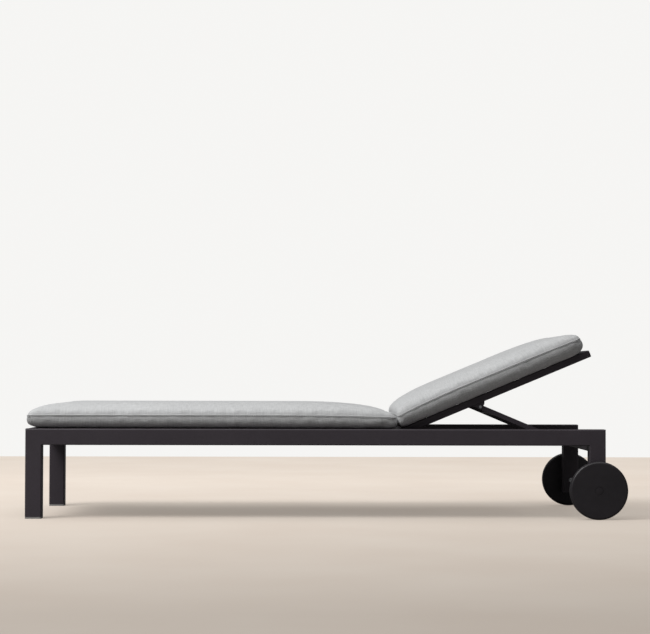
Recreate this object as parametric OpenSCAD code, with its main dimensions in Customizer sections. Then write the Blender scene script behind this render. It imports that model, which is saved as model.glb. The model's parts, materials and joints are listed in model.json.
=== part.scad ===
// Reclining sun lounger. A welded square-tube frame stands on two front legs and two rear
// wheels. Slats carry the seat cushion, and a hinged slatted back carries the back cushion.
// A folding prop holds the back up: its foot bar slides back along two notched racks.
// +X runs from the foot end to the head end, +Z is up, and the origin is on the ground
// under the middle of the overall length and width.

/* [Frame] */
// Length of the frame over its front and rear legs
frame_l = 2000; // [1950:10:2100]
// Width over the side rails
frame_w = 710; // [660:10:760]
// Height of the top of the side rails
frame_h = 309; // [300:1:330]
// Side of the square tube in the rails and legs
tube = 56; // [52:1:60]
// Wall of the square tube
tube_wall = 2.5; // [2:0.5:4]
// Height of the rear legs' lower ends above the ground
rear_leg_gap = 50; // [40:5:70]

/* [Wheels] */
// Diameter of the wheels
wheel_d = 200; // [180:5:210]
// Width of a wheel
wheel_w = 30; // [26:1:40]
// Gap between a wheel and its leg, filled by a spacer
wheel_gap = 5; // [4:1:8]
// Diameter of the axle bolts
axle_d = 8; // [8:1:10]

/* [Seat] */
// Number of slats in the seat deck
seat_slats = 11; // [8:1:12]
// Width of a seat slat along the lounger
seat_slat_w = 70; // [50:2:76]
// Height of the seat cushion at its middle
seat_cushion_h = 89.5; // [70:1:100]

/* [Back] */
// Angle of the back above flat
recline = 22.7; // [0:0.1:60]
// Distance of the back's hinge pin from the foot end
pivot_x = 1300; // [1290:1:1310]
// Length of the back frame past the hinge pin
back_l = 720; // [700:1:730]
// Number of slats in the back deck
back_slats = 6; // [4:1:7]
// Width of a back slat along the back
back_slat_w = 70; // [50:2:76]
// Height of the back cushion at its middle
back_cushion_h = 95; // [70:1:100]

/* [Prop] */
// Distance from the hinge pin to the prop's pins, and from there to the foot bar
prop_r = 295; // [285:1:305]
// Diameter of the foot bar
foot_bar_d = 12; // [10:1:12]
// Number of notches in a rack
notches = 5; // [3:1:5]
// Distance between notches
notch_pitch = 62; // [56:1:62]

/* [Hidden] */
$fn = 64;
frame_paint = "#3d393b";
wheel_plastic = "#242023";
rubber_black = "#1b1a1b";
glide_grey = "#8d8b8a";
bright_steel = "#c3c5c8";
nylon_white = "#e4e2dc";
cushion_grey = "#bfbfbd";

axle_x = frame_l - tube / 2;              // the wheels turn about the middle of the rear legs
axle_z = wheel_d / 2;
overall_l = axle_x + wheel_d / 2;
corner_r = 4;                             // outer corner radius of the frame tube
rail_y = (frame_w - tube) / 2;            // middle of a side rail
inner_y = frame_w / 2 - tube;             // inner face of a side rail
hole_slack = 0.16;                        // added to a hole's diameter for a running fit
bush_end_gap = 0.3;                       // between a wheel's bush or spacer and what it runs on
SIDES = [-1, 1];                          // left and right

// Glides and caps on the legs
glide_t = 6;
cap_t = 3;
plug_h = 22;
plug_slack = 0.4;

// Cross rails
small_tube = 40;
small_wall = 2;
rear_rail_h = 50;
centre_rail_x = 640;
hinge_rail_x = 1222;

// Seat deck
slat_t = 10;
slat_wall = 1.5;
slat_r = 3;
ledge_w = 20;
ledge_t = 3;
deck_end_x = pivot_x - 42;                // the back's lower corner swings just behind this
seat_pitch = (deck_end_x - tube) / seat_slats;

// Back frame, measured along the back and square to it from the hinge pin
back_tube_w = 30;
back_tube_h = 24;
back_wall = 2;
back_r = 3;
back_start = -12;
back_gap = 3.5;                           // between the back frame and a side rail
back_under = 13;                          // from the pin's axis to the back frame's underside
back_top = back_under + back_tube_h;
pivot_z = frame_h - back_top;             // flat, the back is flush with the side rails
back_y = inner_y - back_gap - back_tube_w / 2;
back_deck_start = back_start + back_tube_w;
back_deck_end = back_l - back_tube_w;
back_pitch = (back_deck_end - back_deck_start) / back_slats;

// Bumpers on the rear cross rail, just under the back's side rails when the back is flat
bumper_d = 20;
bumper_t = 1.5;
bumper_gap = 0.5;
rear_rail_top = pivot_z + back_under - bumper_t - bumper_gap;

// Hinge
hinge_pin_d = 10;
knuckle_w = 24;
bush_wall = 2;
bush_flange_d = 22;
bush_flange_t = 3;
hinge_head_af = 17;
hinge_head_t = 6;

// Prop
arm_h = 16;
arm_t = 12;
prop_pin_d = 8;
prop_head_d = 14;
prop_head_t = 4;
ear_t = 4;
ear_gap = 1;                              // between an arm and the ears on each side of it
ear_r = 8;
ear_front = 24;                           // from the pin to the ear's edges at the back's underside
ear_rear = 21;
ear_step = 4;                             // the rear edge leans forward by this much,
ear_step_z = 3.5;                         // down to this height above the pin
spreader_x = 70;
foot_bar_half = inner_y - 2;
rack_t = 10.5;
rack_h = 12;
rack_clear = 0.6;                         // the foot bar passes this far above the racks
rack_end = 12;                            // left beyond the outermost notches
notch_depth = 6;
notch_gap = 0.5;                          // between the foot bar and a notch's upright face
notch_run = 24;                           // length of a notch's sloping side
rack_top = pivot_z - foot_bar_d / 2 - rack_clear;
first_notch_angle = 22.7;                 // recline at which the foot bar is in the last notch back
first_notch_x = pivot_x + 2 * prop_r * cos(first_notch_angle);

// Wheels
wheel_shoulder = 8;
wheel_bush_d = 14;
spacer_d = 20;
pocket_d = 30;
pocket_depth = 12;
hub_cap_t = 4;
bolt_head_d = 18;
bolt_head_t = 6;
bolt_tail = 3;                            // thread showing past the nut
nut_af = 13;
nut_t = 8;
washer_d = 17;
washer_t = 1.5;
wheel_in = frame_w / 2 + wheel_gap;       // distance from the centre plane to a wheel's inner face
wheel_out = wheel_in + wheel_w;
pocket_floor = wheel_out - pocket_depth;
nut_face = inner_y - washer_t - nut_t;

// Cushions
cushion_half = frame_w / 2 - 10;
cushion_lift = 0.5;                       // clear of the deck and of the rails beside it

function two(n) = n < 10 ? str("0", n) : str(n);

// ---- Places ----

// Moves a piece drawn from the foot end to the part's own origin
module from_foot() {
    translate([-overall_l / 2, 0, 0]) children();
}

// Frame of the back: X runs up the back from the hinge pin, Z is square to it
module on_back() {
    from_foot() translate([pivot_x, 0, pivot_z]) rotate([0, -recline, 0]) children();
}

// Frame of the prop: X runs from the prop's pins to its foot bar
module on_prop() {
    on_back() translate([prop_r, 0, 0]) rotate([0, 2 * recline, 0]) children();
}

// Frame of a wheel: Y runs outwards from the centre plane along the axle on one side
module on_axle(side) {
    from_foot() translate([axle_x, 0, axle_z]) on_side(side) children();
}

// Mirrors a piece drawn on the +Y side over to the given side
module on_side(side) {
    if (side > 0) children();
    else mirror([0, 1, 0]) children();
}

// ---- Stock shapes ----

module round_rect(w, h, r) {
    square([w - 2 * r, h], center = true);
    square([w, h - 2 * r], center = true);
    for (x = [-1, 1], y = [-1, 1])
        translate([x * (w / 2 - r), y * (h / 2 - r)]) circle(r);
}

module box_section(w, h, wall, r) {
    difference() {
        round_rect(w, h, r);
        round_rect(w - 2 * wall, h - 2 * wall, max(r - wall, 0.5));
    }
}

// Wedge that cuts a bar of width w and height h back from its start at 45 degrees
module mitre_cut(w, h) {
    linear_extrude(h + 2, center = true)
        polygon([[-1, w / 2 + 1], [w + 1, -w / 2 - 1], [-1, -w / 2 - 1]]);
}

// Box tube along +X with its long edge on +Y where an end is mitred
module box_bar(l, w, h, wall, r, mitre_start = false, mitre_end = false) {
    difference() {
        rotate([90, 0, 90]) linear_extrude(l) box_section(w, h, wall, r);
        if (mitre_start) mitre_cut(w, h);
        if (mitre_end) translate([l, 0, 0]) mirror([1, 0, 0]) mitre_cut(w, h);
    }
}

// Box tube along Y, centred, w along X and h along Z
module cross_bar(l, w, h, wall, r) {
    rotate([90, 0, 0]) linear_extrude(l, center = true) box_section(w, h, wall, r);
}

// Round bar along +Y from y = y0 to y1, with an optional bore
module rod(y0, y1, d, bore = 0) {
    translate([0, y0, 0]) rotate([-90, 0, 0]) difference() {
        cylinder(h = y1 - y0, d = d);
        if (bore > 0) translate([0, 0, -1]) cylinder(h = y1 - y0 + 2, d = bore);
    }
}

// Hexagonal bar along +Y from y = y0 to y1, measured across its flats
module hex_rod(y0, y1, flats) {
    translate([0, y0, 0]) rotate([-90, 0, 0]) cylinder(h = y1 - y0, d = flats / cos(30), $fn = 6);
}

// ---- Frame ----

module side_rail(side) {
    color(frame_paint) from_foot() difference() {
        translate([0, side * rail_y, frame_h - tube / 2]) rotate([90, 0, 0])
            box_bar(frame_l, tube, tube, tube_wall, corner_r, true, true);
        translate([pivot_x, 0, pivot_z]) on_side(side)
            rod(inner_y - 1, inner_y + tube_wall + 1, hinge_pin_d + hole_slack);
    }
}

// Leg from its mitre with the side rail down to the given height
module leg(side, bottom) {
    translate([tube / 2, side * rail_y, frame_h]) rotate([-90, 90, 0])
        box_bar(frame_h - bottom, tube, tube, tube_wall, corner_r, true);
}

module front_leg(side) {
    color(frame_paint) from_foot() leg(side, glide_t);
}

module rear_leg(side) {
    color(frame_paint) difference() {
        from_foot() translate([frame_l, 0, 0]) mirror([1, 0, 0]) leg(side, rear_leg_gap + cap_t);
        on_axle(side) rod(inner_y - 1, frame_w / 2 + 1, axle_d + hole_slack);
    }
}

// Plate under a leg with a plug that fills the tube above it
module leg_end(t) {
    plug = tube - 2 * tube_wall - plug_slack;
    linear_extrude(t) round_rect(tube, tube, corner_r);
    translate([0, 0, t]) linear_extrude(plug_h) round_rect(plug, plug, corner_r / 2);
}

module front_glide(side) {
    color(glide_grey) from_foot() translate([tube / 2, side * rail_y, 0]) leg_end(glide_t);
}

module rear_leg_caps() {
    color(rubber_black) from_foot() for (side = SIDES)
        translate([axle_x, side * rail_y, rear_leg_gap]) leg_end(cap_t);
}

module front_cross_rail() {
    color(frame_paint) from_foot() translate([tube / 2, 0, frame_h - tube / 2])
        cross_bar(2 * inner_y, tube, tube, tube_wall, corner_r);
}

// Cross rail under the seat slats, with its top against the slat ledges
module small_cross_rail(x) {
    color(frame_paint) from_foot()
        translate([x, 0, frame_h - slat_t - ledge_t - small_tube / 2])
            cross_bar(2 * inner_y, small_tube, small_tube, small_wall, back_r);
}

module rear_cross_rail() {
    color(frame_paint) from_foot() translate([axle_x, 0, rear_rail_top - rear_rail_h / 2])
        cross_bar(2 * inner_y, tube, rear_rail_h, tube_wall, corner_r);
}

module slat_ledge(side) {
    color(frame_paint) from_foot()
        translate([(tube + deck_end_x) / 2, side * (inner_y - ledge_w / 2),
                   frame_h - slat_t - ledge_t / 2])
            cube([deck_end_x - tube, ledge_w, ledge_t], center = true);
}

module seat_slat(i) {
    color(frame_paint) from_foot()
        translate([tube + seat_pitch * (i - 0.5), 0, frame_h - slat_t / 2])
            cross_bar(2 * inner_y - 1, seat_slat_w, slat_t, slat_wall, slat_r);
}

// Notched bar on a side rail: the foot bar drops against a notch's upright rear face
module rack(side) {
    start_x = first_notch_x - (notches - 1) * notch_pitch - notch_run - rack_end;
    end_x = first_notch_x + foot_bar_d + rack_end;
    color(frame_paint) from_foot()
        translate([0, side * (inner_y - rack_t / 2), 0]) rotate([90, 0, 0])
            linear_extrude(rack_t, center = true) difference() {
                translate([start_x, rack_top - rack_h]) square([end_x - start_x, rack_h]);
                for (i = [0:notches - 1])
                    translate([first_notch_x - i * notch_pitch, rack_top]) notch();
            }
}

module notch() {
    stop = foot_bar_d / 2 + notch_gap;
    floor_l = 0.7 * foot_bar_d;
    polygon([[-notch_run, 1], [-notch_run, 0], [stop - floor_l, -notch_depth],
             [stop, -notch_depth], [stop, 1]]);
}

module back_bumpers() {
    color(rubber_black) from_foot() for (side = SIDES)
        translate([axle_x, side * back_y, rear_rail_top]) cylinder(h = bumper_t, d = bumper_d);
}

// ---- Axles and wheels ----

module axle_bolts() {
    color(bright_steel) for (side = SIDES) on_axle(side) {
        rod(nut_face - bolt_tail, pocket_floor, axle_d);
        rod(pocket_floor, pocket_floor + bolt_head_t, bolt_head_d);
    }
}

module axle_nuts() {
    color(bright_steel) for (side = SIDES) on_axle(side) difference() {
        union() {
            hex_rod(nut_face, nut_face + nut_t, nut_af);
            rod(nut_face + nut_t, inner_y, washer_d);
        }
        rod(nut_face - 1, inner_y + 1, axle_d);
    }
}

module wheel_spacers() {
    color(nylon_white) for (side = SIDES) on_axle(side)
        rod(frame_w / 2, wheel_in - bush_end_gap, spacer_d, axle_d);
}

// Half section of a wheel, radius along X and width along Y from the inner face
module wheel_half_section() {
    r = wheel_d / 2;
    s = wheel_shoulder;
    square([r - s, wheel_w]);
    translate([0, s]) square([r, wheel_w - 2 * s]);
    for (y = [s, wheel_w - s]) translate([r - s, y]) circle(s);
}

// Smooth solid wheel, with a pocket in its outer face for the bolt head
module wheel(side) {
    color(wheel_plastic) on_axle(side) translate([0, wheel_in, 0]) rotate([-90, 0, 0])
        difference() {
            rotate_extrude($fn = 128) wheel_half_section();
            translate([0, 0, -1]) cylinder(h = wheel_w + 2, d = wheel_bush_d);
            translate([0, 0, wheel_w - pocket_depth]) cylinder(h = wheel_w, d = pocket_d);
        }
}

module wheel_bush(side) {
    color(nylon_white) on_axle(side)
        rod(wheel_in, pocket_floor - bush_end_gap, wheel_bush_d, axle_d + hole_slack);
}

// Shallow domed cap that closes the pocket over the bolt head
module hub_cap(side) {
    dome = 1.5;
    dome_r = (pow(pocket_d / 2, 2) + dome * dome) / (2 * dome);
    color(wheel_plastic) on_axle(side) translate([0, wheel_out - hub_cap_t, 0])
        rotate([-90, 0, 0]) rotate_extrude($fn = 128) intersection() {
            square([pocket_d / 2, hub_cap_t]);
            translate([0, hub_cap_t - dome_r]) circle(dome_r, $fn = 720);
        }
}

// ---- Back ----

module back_side_rail(side) {
    color(frame_paint) on_back() translate([back_start, 0, back_under + back_tube_h / 2])
        on_side(side) translate([0, back_y, 0])
            box_bar(back_l - back_start, back_tube_w, back_tube_h, back_wall, back_r, true, true);
}

// End rail across the back, mitred into the side rails; its outer edge is at x
module back_end_rail(x, turn) {
    half = back_y + back_tube_w / 2;
    color(frame_paint) on_back() translate([x, 0, back_under + back_tube_h / 2])
        rotate([0, 0, turn]) translate([-half, -back_tube_w / 2, 0])
            box_bar(2 * half, back_tube_w, back_tube_h, back_wall, back_r, true, true);
}

module back_slat(i) {
    color(frame_paint) on_back()
        translate([back_deck_start + back_pitch * (i - 0.5), 0, back_top - slat_t / 2])
            cross_bar(2 * back_y - back_tube_w, back_slat_w, slat_t, slat_wall, slat_r);
}

// Tubes under the back's side rails that turn on the hinge bolts
module hinge_knuckles() {
    bore = hinge_pin_d + 2 * bush_wall;
    color(frame_paint) on_back() for (side = SIDES) on_side(side)
        translate([0, back_y - knuckle_w / 2, 0]) rotate([-90, 0, 0]) difference() {
            union() {
                cylinder(h = knuckle_w, r = back_under);
                translate([-back_under, -back_under, 0]) cube([2 * back_under, back_under, knuckle_w]);
            }
            translate([0, 0, -1]) cylinder(h = knuckle_w + 2, d = bore);
        }
}

module hinge_bushes() {
    bore = hinge_pin_d + hole_slack;
    inner = back_y - knuckle_w / 2;
    color(nylon_white) on_back() for (side = SIDES) on_side(side) {
        rod(inner, inner + knuckle_w, hinge_pin_d + 2 * bush_wall, bore);
        rod(inner + knuckle_w, inner + knuckle_w + bush_flange_t, bush_flange_d, bore);
    }
}

module hinge_bolts() {
    shank_start = back_y - knuckle_w / 2 - 1;
    color(bright_steel) from_foot() translate([pivot_x, 0, pivot_z])
        for (side = SIDES) on_side(side) {
            rod(shank_start, inner_y + tube_wall, hinge_pin_d);
            hex_rod(shank_start - hinge_head_t, shank_start, hinge_head_af);
        }
}

// Pair of ears under each side rail of the back that hold the prop's pins
module prop_brackets() {
    color(frame_paint) on_back() translate([prop_r, 0, 0]) for (side = SIDES)
        on_side(side) for (edge = [-1, 1])
            translate([0, back_y + edge * (arm_t / 2 + ear_gap + ear_t / 2), 0])
                rotate([90, 0, 0]) linear_extrude(ear_t, center = true) difference() {
                    union() {
                        circle(ear_r);
                        polygon([[-ear_front, back_under], [ear_rear, back_under],
                                 [ear_rear - ear_step, ear_step_z], [ear_r * cos(30), -ear_r / 2],
                                 [-ear_r * cos(30), -ear_r / 2]]);
                    }
                    circle(d = prop_pin_d);
                }
}

module prop_pins() {
    ear_face = arm_t / 2 + ear_gap + ear_t;
    tail_t = 2;
    color(bright_steel) on_back() translate([prop_r, 0, 0]) for (side = SIDES) on_side(side) {
        rod(back_y - ear_face, back_y + ear_face, prop_pin_d);
        rod(back_y - ear_face - prop_head_t, back_y - ear_face, prop_head_d);
        rod(back_y + ear_face, back_y + ear_face + tail_t, prop_pin_d + tail_t);
    }
}

// ---- Prop ----

module prop_arm(side) {
    color(frame_paint) on_prop() on_side(side) translate([0, back_y, 0])
        rotate([90, 0, 0]) linear_extrude(arm_t, center = true) difference() {
            union() {
                translate([0, -arm_h / 2]) square([prop_r, arm_h]);
                for (x = [0, prop_r]) translate([x, 0]) circle(d = arm_h);
            }
            circle(d = prop_pin_d + hole_slack);
            translate([prop_r, 0]) circle(d = foot_bar_d);
        }
}

module prop_spreader() {
    half = back_y - arm_t / 2;
    color(frame_paint) on_prop() translate([spreader_x, 0, 0]) rod(-half, half, foot_bar_d);
}

module prop_foot_bar() {
    color(frame_paint) on_prop() translate([prop_r, 0, 0])
        rod(-foot_bar_half, foot_bar_half, foot_bar_d);
}

// ---- Cushions ----

// Side outlines run from the underside's foot end round the underside, head end and top
module seat_cushion() {
    h = seat_cushion_h;
    color(cushion_grey) from_foot() translate([0, 0, frame_h + cushion_lift])
        rotate([90, 0, 0]) linear_extrude(2 * cushion_half, center = true)
            polygon([[40, 0], [deck_end_x + 4, 0], [deck_end_x - 18, 0.67 * h],
                     [deck_end_x - 60, 0.8 * h], [deck_end_x - 140, 0.92 * h],
                     [0.5 * frame_l, h], [150, h], [60, 0.91 * h], [16, 0.72 * h], [3, 0.45 * h]]);
}

module back_cushion() {
    h = back_cushion_h;
    color(cushion_grey) on_back() translate([0, 0, back_top + cushion_lift])
        rotate([90, 0, 0]) linear_extrude(2 * cushion_half, center = true)
            polygon([[24, 0], [back_l - 45, 0], [back_l - 16, 0.4 * h], [back_l - 16, 0.6 * h],
                     [back_l - 36, 0.78 * h], [back_l - 90, 0.9 * h], [0.6 * back_l, h],
                     [0.3 * back_l, h], [93, 0.96 * h]]);
}

// ---- Assembly ----

side_rail(-1);  // left_side_rail
side_rail(1);  // right_side_rail
front_leg(-1);  // front_left_leg
front_leg(1);  // front_right_leg
rear_leg(-1);  // rear_left_leg
rear_leg(1);  // rear_right_leg
front_cross_rail();
small_cross_rail(centre_rail_x);  // centre_cross_rail
small_cross_rail(hinge_rail_x);  // hinge_cross_rail
rear_cross_rail();
slat_ledge(-1);  // left_slat_ledge
slat_ledge(1);  // right_slat_ledge
for (i = [1:seat_slats])
    seat_slat(i);
rack(-1);  // left_rack
rack(1);  // right_rack
front_glide(-1);  // front_left_glide
front_glide(1);  // front_right_glide
rear_leg_caps();
axle_bolts();
axle_nuts();
wheel_spacers();
hinge_bolts();
back_bumpers();
seat_cushion();
back_side_rail(-1);  // back_left_rail
back_side_rail(1);  // back_right_rail
back_end_rail(back_l, -90);  // back_top_rail
back_end_rail(back_start, 90);  // back_bottom_rail
for (i = [1:back_slats])
    back_slat(i);
hinge_knuckles();
hinge_bushes();
prop_brackets();
prop_pins();
back_cushion();
prop_arm(-1);  // prop_left_arm
prop_arm(1);  // prop_right_arm
prop_spreader();
prop_foot_bar();
wheel(-1);  // left_wheel
wheel(1);  // right_wheel
wheel_bush(-1);  // left_wheel_bush
wheel_bush(1);  // right_wheel_bush
hub_cap(-1);  // left_hub_cap
hub_cap(1);  // right_hub_cap
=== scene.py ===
"""Looks of a reclining sun lounger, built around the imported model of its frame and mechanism.

Each cushion is sewn from two panels that meet in a seam half-way up its sides. It is shaped in
code as a grid of quads, swollen by a short cloth simulation, and finished with a stitched seam.
Lengths are in metres in the model's own frame: +X points to the head end and +Z up.
"""

import json
import math
from dataclasses import dataclass

import bpy
import numpy as np
from mathutils import Matrix, Vector, noise
from mathutils.bvhtree import BVHTree


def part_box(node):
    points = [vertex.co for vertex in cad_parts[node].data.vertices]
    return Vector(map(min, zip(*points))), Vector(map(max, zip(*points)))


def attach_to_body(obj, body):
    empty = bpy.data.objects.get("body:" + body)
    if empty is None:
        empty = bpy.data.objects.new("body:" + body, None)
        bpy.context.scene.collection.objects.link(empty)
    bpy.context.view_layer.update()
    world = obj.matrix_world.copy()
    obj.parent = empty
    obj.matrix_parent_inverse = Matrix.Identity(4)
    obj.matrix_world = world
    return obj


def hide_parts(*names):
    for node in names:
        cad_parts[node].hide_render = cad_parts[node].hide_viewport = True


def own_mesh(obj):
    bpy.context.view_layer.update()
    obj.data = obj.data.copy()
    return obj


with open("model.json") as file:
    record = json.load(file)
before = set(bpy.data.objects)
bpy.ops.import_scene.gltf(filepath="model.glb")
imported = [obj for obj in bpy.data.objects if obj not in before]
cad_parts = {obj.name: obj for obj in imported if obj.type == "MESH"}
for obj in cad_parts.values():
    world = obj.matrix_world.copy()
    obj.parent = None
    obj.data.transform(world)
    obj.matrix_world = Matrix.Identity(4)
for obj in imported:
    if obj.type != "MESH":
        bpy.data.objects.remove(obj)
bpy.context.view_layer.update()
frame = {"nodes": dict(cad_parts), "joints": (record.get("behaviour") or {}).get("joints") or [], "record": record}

# ---- Sizes taken from the model ----

HINGE = next(joint for joint in frame["joints"] if joint["name"] == "back_hinge")
RECLINE = math.radians(-HINGE["range_deg"][0])  # the back is flat at the joint's lower limit
FOOT_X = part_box("left_side_rail")[0].x
RAIL_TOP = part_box("left_side_rail")[1].z
BACK_TOP = RAIL_TOP - HINGE["pos_m"][2]  # from the hinge pin to the top of the back frame

SEAT_PLACE = Matrix.Translation((FOOT_X, 0, RAIL_TOP))
BACK_PLACE = (
    Matrix.Translation(HINGE["pos_m"])
    @ Matrix.Rotation(-RECLINE, 4, "Y")
    @ Matrix.Translation((0, 0, BACK_TOP))
)

# ---- Cushions ----

LIFT = 0.0008  # the fabric rests this far above the deck
CELL = 0.011  # size of the cloth's quads
CORNER_REACH = 0.22  # a side pulls in over this distance from its corner
SIM_FRAMES = 20
SWELL_CAP = 0.022  # no point of the cloth moves further than this in the simulation
SPARE_CLOTH = 0.014  # the panels are cut this share larger than their seam, so they gather
BACKED_FROM = 0.13  # beyond this distance from the seam the foam holds the cloth firmly
LOOSE = 0.3  # how strongly the cloth is held beside the seam
FIRM = 0.9  # and where the foam backs it
ON_DECK = 0.0006  # cloth that starts less than this above its lift lies on the deck
TINY = 1e-9  # keeps powers and divisions off zero


@dataclass
class Cushion:
    """One cushion. X runs along its deck and Z is the height above the deck's top."""

    name: str
    node: str
    body: str
    place: Matrix
    ends: tuple  # X of the seam's foot and head ends, at the corners
    half: float  # from the middle to the seam's corners, across the lounger
    seam: tuple  # height of the seam at the foot end, along the sides and at the head end
    crown: float  # height of the top panel's middle
    noses: tuple  # length over which the top panel rises at the foot and head ends
    powers: tuple  # how bluntly it does so: 2 is an ellipse
    under: tuple  # length over which the lower panel rises to the seam at the ends and sides
    pull: float  # how far a side pulls in between its corners
    squash_from: tuple  # the point, in the cushion's frame, that squashing flattens towards
    keep: float  # length kept when the back is fully up


SEAT = Cushion(
    name="seat_cushion_cover",
    node="seat_cushion",
    body="frame",
    place=SEAT_PLACE,
    ends=(-0.001, 1.281),
    half=0.345,
    seam=(0.044, 0.045, 0.038),
    crown=0.0895,
    noses=(0.150, 0.366),
    powers=(2.0, 2.0),
    under=(0.044, 0.018, 0.040),
    pull=0.007,
    squash_from=(0.0, 0.0, 0.0),
    keep=0.970,
)
BACK = Cushion(
    name="back_cushion_cover",
    node="back_cushion",
    body="back",
    place=BACK_PLACE,
    ends=(0.012, 0.708),
    half=0.345,
    seam=(0.043, 0.053, 0.049),
    crown=0.096,
    noses=(0.240, 0.340),
    powers=(2.5, 2.8),
    under=(0.014, 0.044, 0.052),
    pull=0.007,
    squash_from=(0.708, 0.0, 0.0),
    keep=0.962,
)
SIDE_NOSE = 0.150  # length over which the top panel rises at a cushion's sides
SIDE_POWER = 2.2  # how bluntly it does so
END_BELLY = 0.009  # how strongly the lower panel stands out past the seam at the ends
SIDE_BELLY = 0.004  # and at the sides
CORNER_POWER = 12  # how square the seam's corners are in plan
EDGE_POWER = 8  # how sharply the nearest edge takes over from the others
PANEL_SAMPLES = 4001  # places at which a panel's length is measured
BLEND_CELLS = 4  # the lower panel's cells shift to match the top panel's over this many rows


def near_edges(cushion, x, y, reach):
    """How near a place is to the foot end, the head end and a side.

    Each is 1 on the seam, and 0 where the place is further from it than that edge's reach.
    """
    foot = 1 - np.clip((x - cushion.ends[0]) / reach[0], 0, 1)
    head = 1 - np.clip((cushion.ends[1] - x) / reach[1], 0, 1)
    side = 1 - np.clip((cushion.half - np.abs(y)) / reach[2], 0, 1)
    return foot, head, side


def edge_shares(near):
    """What the foot end, the head end and the side each count for at a place, 1 in all."""
    shares = [(value + TINY) ** EDGE_POWER for value in near]
    return [share / sum(shares) for share in shares]


def seam_height(cushion, x, y):
    """Height of the seam, which sinks or rises towards the cushion's ends."""
    foot, head, _ = near_edges(cushion, x, y, (*cushion.noses, SIDE_NOSE))
    at_foot, at_side, at_head = cushion.seam
    return at_side + (at_foot - at_side) * foot**2 + (at_head - at_side) * head**2


def top_height(cushion, x, y):
    """Height of the top panel, which rises from the seam to the crown."""
    near = near_edges(cushion, x, y, (*cushion.noses, SIDE_NOSE))
    nearest = np.maximum(np.maximum(near[0], near[1]), near[2])
    powers = (*cushion.powers, SIDE_POWER)
    power = sum(share * value for share, value in zip(edge_shares(near), powers))
    seam = seam_height(cushion, x, y)
    return seam + (cushion.crown - seam) * (1 - nearest**power) ** (1 / power)


def curl(cushion, x, y):
    """How far the lower panel has turned up from the deck: 0 on the deck, 1 at the seam."""
    near = near_edges(cushion, x, y, cushion.under)
    total = sum(value**EDGE_POWER for value in near)
    return np.minimum(total ** (1 / EDGE_POWER), 1.0)


def under_height(cushion, x, y):
    """Height of the lower panel, which lies on the deck except at its edges."""
    seam = seam_height(cushion, x, y)
    return seam + (LIFT - seam) * np.sqrt(1 - curl(cushion, x, y) ** 2)


def belly(cushion, x, y):
    """How far the lower panel stands out past the seam, along X and Y."""
    turned = curl(cushion, x, y)
    out = 2 * turned * np.sqrt(1 - turned**2)
    foot, head, side = edge_shares(near_edges(cushion, x, y, cushion.under))
    return END_BELLY * out * (head - foot), SIDE_BELLY * out * side * np.sign(y)


def plan(cushion, x, y):
    """Rounds the corners of the cushion's outline and pulls its sides in between them."""
    foot, head, side = near_edges(cushion, x, y, (*cushion.noses, SIDE_NOSE))
    along = foot + head
    blunt = (along**CORNER_POWER + side**CORNER_POWER) ** (1 / CORNER_POWER)
    scale = np.maximum(along, side) / np.maximum(blunt, TINY)
    from_foot = cushion.ends[0] + cushion.noses[0] * (1 - foot * scale)
    from_head = cushion.ends[1] - cushion.noses[1] * (1 - head * scale)
    from_side = cushion.half - SIDE_NOSE * (1 - side * scale)
    new_x = np.where(foot > 0, from_foot, np.where(head > 0, from_head, x))
    new_y = np.where(side > 0, np.sign(y) * from_side, y)
    middle = sum(cushion.ends) / 2
    half_length = (cushion.ends[1] - cushion.ends[0]) / 2
    pull_x = inset(cushion.half - np.abs(y), cushion.pull) / half_length
    pull_y = inset(half_length - np.abs(x - middle), cushion.pull) / cushion.half
    return middle + (new_x - middle) * (1 - pull_x), new_y * (1 - pull_y)


def even_steps(height, start, end, count=None):
    """Places that are equally far apart along a panel, and how far along it each one lies."""
    along = np.linspace(start, end, PANEL_SAMPLES)
    lengths = np.hypot(np.diff(along), np.diff(height(along)))
    travelled = np.concatenate([[0], np.cumsum(lengths)])
    count = count or 2 * round(travelled[-1] / CELL / 2) + 1
    marks = np.linspace(0, travelled[-1], count)
    return np.interp(marks, travelled, along), marks


def inset(distance_from_corner, pull):
    """How far a side is pulled in at a distance from its nearer corner."""
    t = np.clip(distance_from_corner / CORNER_REACH, 0, 1)
    return pull * (1 - (1 - t) ** 2)


def panel_grid(cushion, height, rows=None, columns=None):
    """Places of a panel's vertices in plan, and where they lie on the flat cloth."""
    middle = sum(cushion.ends) / 2
    xs, cloth_x = even_steps(lambda x: height(cushion, x, 0), *cushion.ends, rows)
    ys, cloth_y = even_steps(
        lambda y: height(cushion, middle, y), -cushion.half, cushion.half, columns
    )
    grid = np.meshgrid(xs, ys, indexing="ij") + np.meshgrid(cloth_x, cloth_y, indexing="ij")
    return np.stack(grid, axis=-1)


def matched(under, top):
    """The lower panel's grid, bent near its edges to meet the top panel's vertices there."""
    rows, columns, _ = top.shape
    row, column = np.meshgrid(np.arange(rows), np.arange(columns), indexing="ij")
    from_end = np.minimum(row, rows - 1 - row)
    from_side = np.minimum(column, columns - 1 - column)
    share_x = np.minimum(from_side / BLEND_CELLS, 1)
    share_y = np.minimum(from_end / BLEND_CELLS, 1)
    share = np.stack([share_x, share_y, share_x, share_y], axis=-1)
    return top + (under - top) * share


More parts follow.
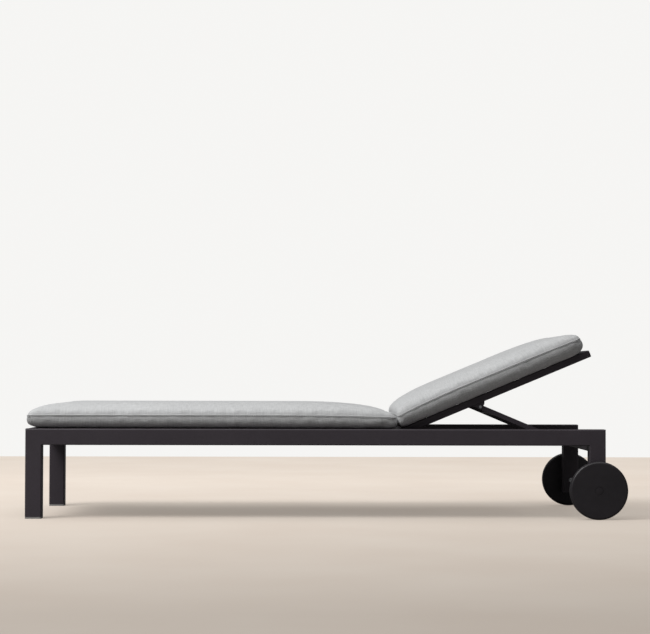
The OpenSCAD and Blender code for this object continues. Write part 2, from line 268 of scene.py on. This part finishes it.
def cushion_mesh(cushion):
    """The two sewn panels as one closed mesh, and the numbers of its seam's vertices in order."""
    top = panel_grid(cushion, top_height)
    rows, columns, _ = top.shape
    under = panel_grid(cushion, under_height, rows, columns)
    under[..., 2:] *= top[-1, -1, 2:] / under[-1, -1, 2:]
    under = matched(under, top)

    x, y = top[..., 0], top[..., 1]
    top_points = np.stack([*plan(cushion, x, y), top_height(cushion, x, y)], axis=-1)
    x, y = under[..., 0], under[..., 1]
    under_points = np.stack([*plan(cushion, x, y), under_height(cushion, x, y)], axis=-1)
    under_points[..., :2] += np.stack(belly(cushion, x, y), axis=-1)

    number = np.arange(rows * columns).reshape(rows, columns)
    under_number = number.copy()
    inner = np.arange((rows - 2) * (columns - 2)).reshape(rows - 2, columns - 2)
    under_number[1:-1, 1:-1] = rows * columns + inner
    points = np.concatenate([top_points.reshape(-1, 3), under_points[1:-1, 1:-1].reshape(-1, 3)])
    cloth = np.concatenate([top[..., 2:].reshape(-1, 2), under[1:-1, 1:-1, 2:].reshape(-1, 2)])
    mesh = bpy.data.meshes.new(cushion.name)
    mesh.from_pydata(points.tolist(), [], quads(number) + quads(under_number[:, ::-1]))
    set_weave(mesh, cloth)
    seam = np.concatenate(
        [number[:-1, 0], number[-1, :-1], number[:0:-1, -1], number[0, :0:-1]]
    )
    return mesh, seam


def quads(number):
    """Faces of a grid of numbered vertices."""
    corners = [number[:-1, :-1], number[1:, :-1], number[1:, 1:], number[:-1, 1:]]
    return np.stack(corners, axis=-1).reshape(-1, 4).tolist()


def set_weave(mesh, cloth):
    """Stores where each vertex lies on the flat cloth, in metres, for the weave to follow."""
    attribute = mesh.attributes.new("weave", "FLOAT_VECTOR", "POINT")
    flat = np.zeros((len(cloth), 3), np.float32)
    flat[:, :2] = cloth
    attribute.data.foreach_set("vector", flat.ravel())


def coordinates(mesh):
    points = np.zeros(len(mesh.vertices) * 3, np.float32)
    mesh.vertices.foreach_get("co", points)
    return points.reshape(-1, 3)


def set_coordinates(mesh, points):
    mesh.vertices.foreach_set("co", points.astype(np.float32).ravel())
    mesh.update()


def add_object(name, mesh):
    obj = bpy.data.objects.new(name, mesh)
    bpy.context.scene.collection.objects.link(obj)
    return obj


def applied(obj):
    """The object's mesh with its modifiers applied."""
    depsgraph = bpy.context.evaluated_depsgraph_get()
    return bpy.data.meshes.new_from_object(obj.evaluated_get(depsgraph))


def hold(obj, cushion, seam):
    """Vertex group that keeps the seam in place, and the panels where the foam backs them."""
    rest = coordinates(obj.data)
    from_side = cushion.half - np.abs(rest[:, 1])
    from_end = np.minimum(rest[:, 0] - cushion.ends[0], cushion.ends[1] - rest[:, 0])
    backed = np.clip(np.minimum(from_side, from_end) / BACKED_FROM, 0, 1)
    weights = LOOSE + (FIRM - LOOSE) * backed**2
    weights[rest[:, 2] < LIFT + ON_DECK] = 1.0
    weights[seam] = 1.0
    group = obj.vertex_groups.new(name="held")
    for index, weight in enumerate(weights.tolist()):
        group.add([index], weight, "REPLACE")
    return group


def swell(obj, cushion, seam):
    """Fills the cushion by a short cloth simulation with its seam held, and keeps the result."""
    rest = coordinates(obj.data)
    group = hold(obj, cushion, seam)
    modifier = obj.modifiers.new("Cloth", "CLOTH")
    cloth = modifier.settings
    cloth.quality = 6
    cloth.mass = 0.3
    cloth.tension_stiffness = 20
    cloth.compression_stiffness = 20
    cloth.shear_stiffness = 8
    cloth.bending_stiffness = 0.15
    cloth.shrink_min = -SPARE_CLOTH
    cloth.use_pressure = True
    cloth.uniform_pressure_force = 3
    cloth.vertex_group_mass = group.name
    cloth.effector_weights.gravity = 0
    for step in range(1, SIM_FRAMES + 1):
        bpy.context.scene.frame_set(step)
    swollen = coordinates(applied(obj))
    obj.modifiers.remove(modifier)
    obj.vertex_groups.remove(group)
    bpy.context.scene.frame_set(1)
    move = swollen - rest
    length = np.linalg.norm(move, axis=1, keepdims=True)
    move *= np.minimum(1, SWELL_CAP / np.maximum(length, TINY))
    set_coordinates(obj.data, rest + move)


def settle(mesh):
    """Flattens the lower panel where it would sink into the deck."""
    points = coordinates(mesh)
    points[:, 2] = np.maximum(points[:, 2], LIFT)
    set_coordinates(mesh, points)


def make_cover(cushion):
    """The cushion's cover, and its seam as a closed line of points in the cushion's frame."""
    mesh, seam = cushion_mesh(cushion)
    obj = add_object(cushion.name, mesh)
    line = coordinates(mesh)[seam]
    swell(obj, cushion, seam)
    modifier = obj.modifiers.new("Subdivision", "SUBSURF")
    modifier.levels = 1
    smooth = applied(obj)
    obj.modifiers.remove(modifier)
    obj.data = smooth
    settle(smooth)
    smooth.transform(cushion.place)
    smooth.shade_smooth()
    return obj, line


# ---- Seams ----

LIP_R = 0.0019  # the two folded edges of the panels beside a seam
LIP_APART = 0.0017  # from the seam's middle to the middle of a lip
LIP_SINK = 0.0007  # how far a lip's middle lies inside the seam's line
LIP_PITCH = 0.006  # between the rings of a lip's tube
LIP_SIDES = 8
RIPPLES = 30  # how closely a lip's unevenness follows on, in each metre
RIPPLE_OUT = 0.0006  # how far it moves a lip in and out
RIPPLE_UP = 0.0005  # and up and down
STITCH_PITCH = 0.0062
STITCH_L = 0.0040
STITCH_R = 0.0007
STITCH_SIDES = 6
STITCH_OUT = 0.0007  # how far a thread's middle stands out from the cloth
STITCH_TAPER = ((-1.0, 0.15), (-0.7, 0.8), (0.0, 1.0), (0.7, 0.8), (1.0, 0.15))
DART_X = 1.227  # place of the short upright seams near the seat cushion's head end
DART_TOP = 0.038  # height of their highest stitch
DART_STITCHES = 5
DART_PITCH = 0.0045


def even_line(points, pitch):
    """Points about one pitch apart along a closed line, and their distances from its start."""
    points = np.concatenate([points, points[:1]])
    steps = np.linalg.norm(np.diff(points, axis=0), axis=1)
    travelled = np.concatenate([[0], np.cumsum(steps)])
    count = round(travelled[-1] / pitch)
    marks = np.linspace(0, travelled[-1], count, endpoint=False)
    spread = [np.interp(marks, travelled, points[:, axis]) for axis in range(3)]
    return np.stack(spread, axis=-1), marks


def outward(points):
    """Unit vectors along a closed level line and square to it, away from the cushion."""
    along = np.roll(points, -1, axis=0) - np.roll(points, 1, axis=0)
    along /= np.linalg.norm(along, axis=1, keepdims=True)
    away = np.cross(along, (0, 0, 1))
    return along, away / np.linalg.norm(away, axis=1, keepdims=True)


def lip_mesh(name, centres, side, up, marks):
    """Closed tube of fabric round a closed line."""
    turn = np.linspace(0, 2 * math.pi, LIP_SIDES, endpoint=False)
    ring = np.cos(turn)[None, :, None] * side[:, None, :]
    ring = ring + np.sin(turn)[None, :, None] * up
    points = centres[:, None, :] + LIP_R * ring
    number = np.arange(points.shape[0] * LIP_SIDES).reshape(-1, LIP_SIDES)
    number = np.pad(number, ((0, 1), (0, 1)), mode="wrap")
    mesh = bpy.data.meshes.new(name)
    mesh.from_pydata(points.reshape(-1, 3).tolist(), [], quads(number))
    around = np.broadcast_to(turn * LIP_R, points.shape[:2])
    cloth = np.stack([np.broadcast_to(marks[:, None], around.shape), around], axis=-1)
    set_weave(mesh, cloth.reshape(-1, 2))
    mesh.shade_smooth()
    return mesh


def seam_lip(cushion, line, side_name, direction):
    """The folded edge of one panel, just above or below the seam's line."""
    points, marks = even_line(line, LIP_PITCH)
    _, away = outward(points)
    ripple = np.array([noise.noise(Vector(p) * RIPPLES) for p in points])
    centres = points + away * (RIPPLE_OUT * ripple[:, None] - LIP_SINK)
    centres[:, 2] += direction * LIP_APART + RIPPLE_UP * ripple
    up = np.array((0.0, 0.0, 1.0))
    name = f"{cushion.node}_seam_{side_name}"
    mesh = lip_mesh(name, centres, away, up, marks)
    mesh.transform(cushion.place)
    return add_object(name, mesh)


def stitch_mesh(name, centres, along, across):
    """Short threads with tapered ends, one at each centre."""
    turn = np.linspace(0, 2 * math.pi, STITCH_SIDES, endpoint=False)
    up = np.cross(along, across)
    ring = np.cos(turn)[None, :, None] * across[:, None, :]
    ring = ring + np.sin(turn)[None, :, None] * up[:, None, :]
    rows = [
        centres[:, None, :] + along[:, None, :] * place * STITCH_L / 2 + ring * STITCH_R * size
        for place, size in STITCH_TAPER
    ]
    points = np.stack(rows, axis=1)
    each = np.arange(len(STITCH_TAPER) * STITCH_SIDES).reshape(-1, STITCH_SIDES)
    wrapped = np.pad(each, ((0, 0), (0, 1)), mode="wrap")
    one = quads(wrapped)
    caps = [each[0, ::-1].tolist(), each[-1].tolist()]
    faces = []
    for i in range(len(centres)):
        faces += [[v + i * each.size for v in face] for face in one + caps]
    mesh = bpy.data.meshes.new(name)
    mesh.from_pydata(points.reshape(-1, 3).tolist(), [], faces)
    mesh.shade_smooth()
    return mesh


def dart(cushion, cover):
    """Middles of the stitches in the two short upright seams below the seat cushion's seam."""
    surface = BVHTree.FromObject(cover, bpy.context.evaluated_depsgraph_get())
    into = cushion.place.inverted()
    found = []
    for side in (-1, 1):
        for i in range(DART_STITCHES):
            height = DART_TOP - i * DART_PITCH
            outside = cushion.place @ Vector((DART_X, side * 2 * cushion.half, height))
            place, normal, _, _ = surface.ray_cast(outside, Vector((0, -side, 0)))
            found.append((into @ place, normal))
    middles = np.array([place for place, _ in found])
    normals = np.array([normal for _, normal in found])
    down = np.cross(normals, (1.0, 0.0, 0.0))
    return middles, down, normals


def stitches(cushion, line, cover):
    """Row of threads in the groove between the lips, and those of the two short seams."""
    points, _ = even_line(line, STITCH_PITCH)
    along, away = outward(points)
    if cushion.node == "seat_cushion":
        middles, down, normals = dart(cushion, cover)
        points = np.concatenate([points, middles])
        along = np.concatenate([along, down])
        away = np.concatenate([away, normals])
    name = f"{cushion.node}_stitches"
    mesh = stitch_mesh(name, points + away * STITCH_OUT, along, away)
    mesh.transform(cushion.place)
    return add_object(name, mesh)


# ---- Materials ----


class Nodes:
    """Builds the node tree of one material."""

    def __init__(self, name):
        self.material = bpy.data.materials.new(name)
        self.material.use_nodes = True
        self.tree = self.material.node_tree
        self.shader = self.tree.nodes["Principled BSDF"]

    def add(self, kind, inputs=None, **settings):
        """Adds a node. An input is a number, a colour or another node's output."""
        node = self.tree.nodes.new(kind)
        for key, value in settings.items():
            setattr(node, key, value)
        for key, value in (inputs or {}).items():
            self.put(node.inputs[key], value)
        return node

    def put(self, socket, value):
        if isinstance(value, bpy.types.NodeSocket):
            self.tree.links.new(value, socket)
        else:
            socket.default_value = value

    def set(self, **inputs):
        """Sets the shader's sockets, written with _ for a space."""
        for key, value in inputs.items():
            self.put(self.shader.inputs[key.replace("_", " ")], value)

    def math(self, operation, a, b=0.0):
        node = self.add("ShaderNodeMath", operation=operation)
        self.put(node.inputs[0], a)
        self.put(node.inputs[1], b)
        return node.outputs[0]

    def place(self, scale=(1, 1, 1)):
        """Place on the object, stretched by a scale."""
        at = self.add("ShaderNodeTexCoord").outputs["Object"]
        return self.stretched(at, scale)

    def stretched(self, vector, scale):
        inputs = {"Vector": vector, "Scale": scale}
        return self.add("ShaderNodeMapping", inputs).outputs["Vector"]

    def noise(self, vector, scale, detail=3.0, roughness=0.5):
        inputs = {"Vector": vector, "Scale": scale, "Detail": detail, "Roughness": roughness}
        return self.add("ShaderNodeTexNoise", inputs).outputs["Fac"]

    def ramp(self, value, low, high, start=0.3, end=0.7):
        """A colour that goes from low to high as a value goes from start to end."""
        node = self.add("ShaderNodeValToRGB", {"Fac": value})
        for element, place, colour in zip(node.color_ramp.elements, (start, end), (low, high)):
            element.position = place
            element.color = (*colour, 1)
        return node.outputs["Color"]

    def span(self, value, low, high, start=0.3, end=0.7):
        """A number that goes from low to high as a value goes from start to end."""
        inputs = {
            "Value": value, "From Min": start, "From Max": end, "To Min": low, "To Max": high
        }
        return self.add("ShaderNodeMapRange", inputs).outputs["Result"]

    def mix(self, share, a, b, blend="MIX"):
        node = self.add("ShaderNodeMix", data_type="RGBA", blend_type=blend)
        self.put(node.inputs["Factor"], share)
        self.put(node.inputs[6], a)
        self.put(node.inputs[7], b)
        return node.outputs[2]

    def bump(self, height, depth, strength=1.0, normal=None):
        inputs = {"Height": height, "Distance": depth, "Strength": strength}
        if normal is not None:
            inputs["Normal"] = normal
        return self.add("ShaderNodeBump", inputs).outputs["Normal"]


def shade(colour, factor):
    return tuple(channel * factor for channel in colour)


ACROSS_YARN = 420  # changes of tone in a metre, from one yarn to the next
ALONG_YARN = 24  # and along one yarn


def fabric(name, light, dark, pitch):
    """Plain-woven heather cloth that follows the flat cloth's own coordinates."""
    n = Nodes(name)
    cloth = n.add("ShaderNodeAttribute", attribute_name="weave").outputs["Vector"]
    split = n.add("ShaderNodeSeparateXYZ", {"Vector": cloth})
    warp = n.math("SINE", n.math("MULTIPLY", split.outputs["X"], math.pi / pitch))
    weft = n.math("SINE", n.math("MULTIPLY", split.outputs["Y"], math.pi / pitch))
    over = n.span(n.math("MULTIPLY", warp, weft), 0, 1, -0.25, 0.25)
    height = n.add(
        "ShaderNodeMix",
        {"Factor": over, "A": n.math("ABSOLUTE", weft), "B": n.math("ABSOLUTE", warp)},
        data_type="FLOAT",
    ).outputs[0]
    yarn_across = n.noise(n.stretched(cloth, (ACROSS_YARN, ALONG_YARN, 1)), 1.0, detail=4)
    yarn_along = n.noise(n.stretched(cloth, (ALONG_YARN, ACROSS_YARN, 1)), 1.0, detail=4)
    heather = n.mix(
        over,
        n.ramp(yarn_along, dark, light, 0.36, 0.62),
        n.ramp(yarn_across, dark, light, 0.36, 0.62),
    )
    streaks = n.ramp(
        n.noise(n.stretched(cloth, (170, 26, 1)), 1.0, detail=2), (0.93,) * 3, (1.05,) * 3
    )
    patches = n.ramp(n.noise(cloth, 4.0, detail=2), (0.97,) * 3, (1.03,) * 3)
    toned = n.mix(1.0, n.mix(1.0, heather, streaks, "MULTIPLY"), patches, "MULTIPLY")
    shadow = n.ramp(height, (0.72,) * 3, (1.0,) * 3, 0.0, 0.55)
    colour = n.mix(1.0, toned, shadow, "MULTIPLY")
    soft = n.bump(n.noise(cloth, 38.0, detail=2), 0.0012, 0.6)
    n.set(
        Base_Color=colour,
        Roughness=n.span(yarn_across, 0.82, 0.95),
        Sheen_Weight=0.18,
        Sheen_Roughness=0.5,
        Specular_IOR_Level=0.25,
        Normal=n.bump(height, 0.0005, 0.7, soft),
    )
    return n.material


def thread(name, colour):
    n = Nodes(name)
    twist = n.add(
        "ShaderNodeTexWave",
        {"Vector": n.place(), "Scale": 900.0, "Distortion": 1.5},
        bands_direction="DIAGONAL",
    ).outputs["Fac"]
    n.set(
        Base_Color=n.ramp(twist, shade(colour, 0.6), shade(colour, 1.3)),
        Roughness=n.span(twist, 0.6, 0.8),
        Normal=n.bump(twist, 0.0002, 0.5),
    )
    return n.material


def powder_coat(name, colour):
    """Matt paint with a fine orange-peel surface and a little unevenness in its tone."""
    n = Nodes(name)
    at = n.place()
    tone = n.ramp(n.noise(at, 2.2), shade(colour, 0.9), shade(colour, 1.1))
    speckle = n.ramp(n.noise(at, 1100, detail=2), (0.8,) * 3, (1.25,) * 3, 0.35, 0.7)
    peel = n.noise(at, 520, detail=2)
    n.set(
        Base_Color=n.mix(1.0, tone, speckle, "MULTIPLY"),
        Roughness=n.span(n.noise(at, 30), 0.46, 0.58),
        Specular_IOR_Level=0.42,
        Normal=n.bump(peel, 0.00025, 0.35),
    )
    return n.material


def moulded(name, colour, roughness, grain, depth):
    """Moulded plastic or rubber with a fine grain."""
    n = Nodes(name)
    at = n.place()
    tone = n.ramp(n.noise(at, 9), shade(colour, 0.88), shade(colour, 1.12))
    dust = n.ramp(n.noise(at, 60, detail=5), (0.95,) * 3, (1.12,) * 3, 0.45, 0.75)
    n.set(
        Base_Color=n.mix(1.0, tone, dust, "MULTIPLY"),
        Roughness=n.span(n.noise(at, 45), roughness - 0.05, roughness + 0.06),
        Normal=n.bump(n.noise(at, grain, detail=2), depth, 0.4),
    )
    return n.material


def steel(name, colour):
    """Plated steel with fine marks from turning."""
    n = Nodes(name)
    marks = n.noise(n.place((60, 2400, 60)), 1.0, detail=2)
    n.set(
        Base_Color=n.ramp(marks, shade(colour, 0.85), colour),
        Metallic=1.0,
        Roughness=n.span(marks, 0.24, 0.4),
        Normal=n.bump(marks, 0.0001, 0.3),
    )
    return n.material


MATERIALS = {
    "frame_paint": powder_coat("frame_paint_look", (0.047, 0.038, 0.046)),
    "wheel_plastic": moulded("wheel_plastic_look", (0.018, 0.015, 0.018), 0.42, 900, 0.0002),
    "glide_plastic": moulded("glide_plastic_look", (0.30, 0.29, 0.28), 0.5, 700, 0.0002),
    "black_rubber": moulded("black_rubber_look", (0.013, 0.012, 0.012), 0.75, 1100, 0.0003),
    "nylon": moulded("nylon_look", (0.72, 0.70, 0.65), 0.4, 500, 0.0001),
    "bright_steel": steel("bright_steel_look", (0.62, 0.63, 0.65)),
}
CLOTH = fabric("cushion_fabric_look", (0.63, 0.635, 0.635), (0.50, 0.505, 0.505), 0.0017)
THREAD = thread("cushion_thread_look", (0.10, 0.10, 0.10))


def set_material(obj, material):
    obj.data.materials.clear()
    obj.data.materials.append(material)


for part in frame["record"]["subparts"]:
    if part["material_slot"] in MATERIALS:
        for place in frame["nodes"][part["node"]].material_slots:
            place.material = MATERIALS[part["material_slot"]]


# ---- Cushions on their bodies ----


def attach(obj, cushion):
    """The piece moves with its body."""
    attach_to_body(obj, cushion.body)
    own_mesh(obj)


for cushion in (SEAT, BACK):
    cover, line = make_cover(cushion)
    set_material(cover, CLOTH)
    pieces = [cover]
    for side_name, direction in (("upper", 1), ("lower", -1)):
        lip = seam_lip(cushion, line, side_name, direction)
        set_material(lip, CLOTH)
        pieces.append(lip)
    threads = stitches(cushion, line, cover)
    set_material(threads, THREAD)
    pieces.append(threads)
    for piece in pieces:
        attach(piece, cushion)
    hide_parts(cushion.node)


# ---- Stage, light and camera ----

FLOOR_R = 4.7  # from the middle to the sides
FLOOR_SQUARE = 8  # how square the floor is in plan
FLOOR_BOUNCE = (0.22, 0.21, 0.20, 1)  # what the floor reflects onto the lounger
FLOOR_LIT = (0.55, 0.55, 0.55, 1)  # share of its pale tone that the floor shows by reflection
FLOOR_GLOW = 0.41  # and the share by its own glow
FLOOR_FRONT_PAINTED_SHADE = 0.52  # share of the floor's colour kept at the front, where the back has 1: painted shade that darkens the floor towards the front
BACKDROP = 1.0  # strength of the backdrop as the camera sees it
FILL = 0.11  # and as it lights the scene
LENS = 106.94  # millimetres, for a sensor 36 mm wide
CAMERA_AT = (-0.103, -7.013, 0.496)
PAN = -0.83  # degrees, as are the next two
TILT = 1.717
ROLL = 0.13


def floor():
    """Pale square floor with round corners. It glows a little, so shadows on it stay soft."""
    turn = np.linspace(0, 2 * math.pi, 240, endpoint=False)
    size = np.abs(np.cos(turn)) ** FLOOR_SQUARE + np.abs(np.sin(turn)) ** FLOOR_SQUARE
    radius = FLOOR_R / size ** (1 / FLOOR_SQUARE)
    rim = [(r * math.cos(a), r * math.sin(a), 0) for a, r in zip(turn, radius)]
    mesh = bpy.data.meshes.new("floor")
    mesh.from_pydata(rim, [], [list(range(len(rim)))])
    obj = add_object("floor", mesh)
    n = Nodes("floor_look")
    at = n.place()
    tone = n.ramp(n.noise(at, 1.6, detail=5), (0.95, 0.83, 0.72), (1.0, 0.89, 0.78))
    # Painted shade: the floor's colour, as the camera sees it and as it glows, darkens from the back towards the
    # front.
    back = n.add("ShaderNodeSeparateXYZ", {"Vector": at}).outputs["Y"]
    pale = n.mix(1.0, tone, n.span(back, FLOOR_FRONT_PAINTED_SHADE, 1.0, -3, 2), "MULTIPLY")
    seen = n.add("ShaderNodeLightPath").outputs["Is Camera Ray"]
    n.set(
        Base_Color=n.mix(seen, FLOOR_BOUNCE, n.mix(1.0, pale, FLOOR_LIT, "MULTIPLY")),
        Roughness=0.8,
        Specular_IOR_Level=0.2,
        Emission_Color=pale,
        Emission_Strength=n.math("MULTIPLY", seen, FLOOR_GLOW),
    )
    set_material(obj, n.material)


def sun(name, direction, strength, spread):
    """Even soft light that travels in a direction, from a patch of sky some degrees across."""
    light = bpy.data.lights.new(name, "SUN")
    light.energy = strength
    light.angle = math.radians(spread)
    obj = bpy.data.objects.new(name, light)
    bpy.context.scene.collection.objects.link(obj)
    obj.rotation_euler = Vector(direction).to_track_quat("-Z", "Y").to_euler()


def softbox(name, at, aim, power, size):
    """Square studio light, which the camera doesn't see."""
    light = bpy.data.lights.new(name, "AREA")
    light.energy = power
    light.size = size
    obj = bpy.data.objects.new(name, light)
    bpy.context.scene.collection.objects.link(obj)
    obj.location = at
    obj.rotation_euler = (Vector(aim) - Vector(at)).to_track_quat("-Z", "Y").to_euler()
    obj.visible_camera = False


def sky():
    """Pale backdrop that lights the scene less than it shows to the camera."""
    world = bpy.data.worlds.new("studio")
    bpy.context.scene.world = world
    world.use_nodes = True
    nodes = world.node_tree.nodes
    links = world.node_tree.links
    backdrop = nodes["Background"]
    backdrop.inputs["Color"].default_value = (0.92, 0.915, 0.90, 1)
    backdrop.inputs["Strength"].default_value = BACKDROP
    fill = nodes.new("ShaderNodeBackground")
    fill.inputs["Color"].default_value = (0.95, 0.97, 1.0, 1)
    fill.inputs["Strength"].default_value = FILL
    chooser = nodes.new("ShaderNodeMixShader")
    path = nodes.new("ShaderNodeLightPath")
    links.new(path.outputs["Is Camera Ray"], chooser.inputs["Fac"])
    links.new(fill.outputs[0], chooser.inputs[1])
    links.new(backdrop.outputs[0], chooser.inputs[2])
    links.new(chooser.outputs[0], nodes["World Output"].inputs["Surface"])


def camera():
    """Low side view from seven metres, level with the cushions and tipped up a little."""
    data = bpy.data.cameras.new("camera")
    data.sensor_width = 36
    data.lens = LENS
    obj = bpy.data.objects.new("camera", data)
    bpy.context.scene.collection.objects.link(obj)
    pan = Matrix.Rotation(math.radians(PAN), 4, "Z")
    tilt = Matrix.Rotation(math.radians(90 + TILT), 4, "X")
    roll = Matrix.Rotation(math.radians(ROLL), 4, "Z")
    obj.matrix_world = Matrix.Translation(CAMERA_AT) @ pan @ tilt @ roll
    bpy.context.scene.camera = obj


floor()
sky()
softbox("key", (-3.0, -2.2, 4.4), (0.0, 0.0, 0.2), 200, 2.4)
sun("overhead", (0.25, 0.1, -1.0), 1.6, 90)
camera()
bpy.context.scene.view_settings.view_transform = "Standard"
